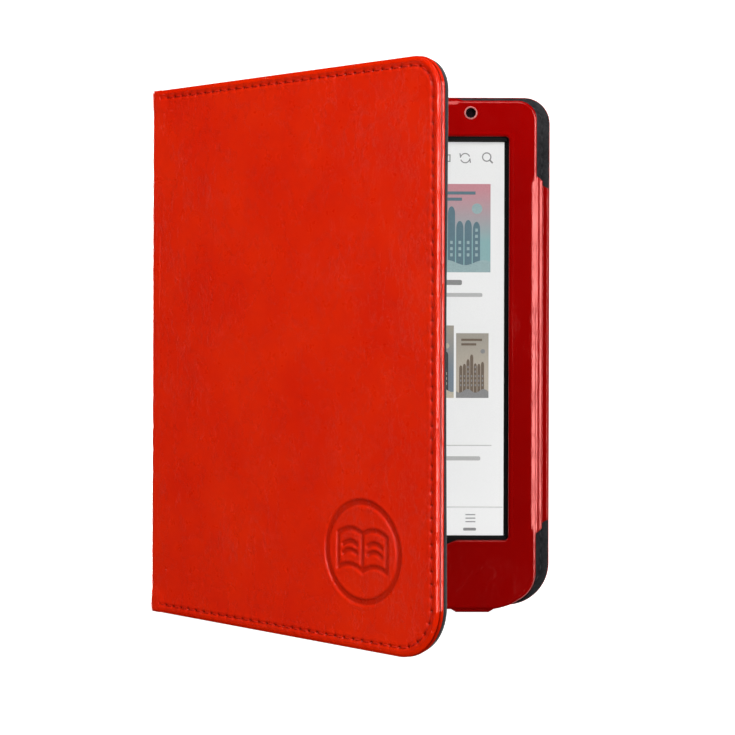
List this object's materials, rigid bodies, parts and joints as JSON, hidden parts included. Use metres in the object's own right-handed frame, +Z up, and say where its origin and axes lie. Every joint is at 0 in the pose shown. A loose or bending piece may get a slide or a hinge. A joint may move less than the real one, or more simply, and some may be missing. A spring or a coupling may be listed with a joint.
{
  "type": "e-reader in a leather folio case",
  "caption": "Slim e-reader with a light grey screen, held in a red leather folio whose hinged front cover stands part open like a book.",
  "frame": {"origin": "on the standing edge of the folio's back panel, halfway through its thickness and in line with the middle of the screen", "axes": "+X to the right across the screen, +Y away from the person reading, out of the folio's back, +Z up"},
  "size_m": [0.125, 0.0976, 0.1614],
  "materials": {
    "folio_leather": "fine-grained red leather with a satin sheen",
    "holder_leather": "smooth deep red leather",
    "lining_fabric": "charcoal microfibre",
    "grey_board": "compressed fibre board",
    "black_plastic": "finely textured moulded plastic",
    "bezel_plastic": "satin moulded plastic",
    "screen_film": "etched anti-glare film",
    "e_ink": "paper-like light grey",
    "clear_guide": "clear moulded sheet",
    "magnesium": "cast, matt",
    "steel": "plated",
    "magnet": "nickel plated",
    "circuit_board": "solder resist",
    "chip": "moulded package",
    "flex_film": "polyimide",
    "battery_foil": "matt foil pouch",
    "seal_rubber": "soft black elastomer",
    "connector": "moulded connector"
  },
  "bodies": {
    "case_back": {"back_skin": "folio_leather", "back_board": "grey_board", "back_lining": "lining_fabric", "holder_magnets": "magnet", "holder_frame": "holder_leather", "holder_stiffener": "grey_board", "holder_right_wrap": "holder_leather", "holder_left_wrap": "holder_leather", "holder_top_tab": "holder_leather", "holder_bottom_tabs": "holder_leather", "rear_cover": "black_plastic", "housing_seal": "seal_rubber", "front_bezel": "bezel_plastic", "sensor_lens": "screen_film", "mid_frame": "magnesium", "frame_screws": "steel", "e_ink_panel": "e_ink", "light_guide": "clear_guide", "touch_film": "screen_film", "front_light_strip": "flex_film", "display_flex": "flex_film", "touch_flex": "flex_film", "main_board": "circuit_board", "board_screws": "steel", "processor": "chip", "memory_chip": "chip", "board_shield": "steel", "power_chip": "chip", "wireless_module": "steel", "hall_sensor": "chip", "flex_connectors": "connector", "usb_c_port": "steel", "battery_pads": "seal_rubber", "battery": "battery_foil", "battery_lead": "flex_film", "battery_plug": "connector", "wifi_antenna": "flex_film", "antenna_cable": "seal_rubber", "light_sensor": "chip", "button_gasket": "seal_rubber", "power_switch": "steel", "switch_board": "circuit_board", "switch_flex": "flex_film"},
    "spine": {"spine_skin": "folio_leather", "spine_board": "grey_board", "spine_lining": "lining_fabric"},
    "flap": {"front_skin": "folio_leather", "front_board": "grey_board", "front_lining": "lining_fabric", "cover_magnets": "magnet", "sleep_magnet": "magnet"},
    "power_button": {"power_button": "black_plastic"}
  },
  "joints": [
    {"name": "spine_fold", "type": "hinge", "parent": "case_back", "child": "spine", "pos_m": [-0.0588, 0.001, 0.0807], "axis": [0, 0, -1], "range_deg": [-22, 158]},
    {"name": "cover_fold", "type": "hinge", "parent": "spine", "child": "flap", "pos_m": [-0.06442, -0.01291, 0.0807], "axis": [0, 0, -1], "range_deg": [-22, 158]},
    {"name": "power_button_press", "type": "slide", "parent": "case_back", "child": "power_button", "axis": [0, -1, 0], "range_m": [0, 0.0004], "stiffness_N_per_m": 800}
  ],
  "couplings": [
    {"joint": "cover_fold", "follows": "spine_fold", "ratio": 1}
  ]
}
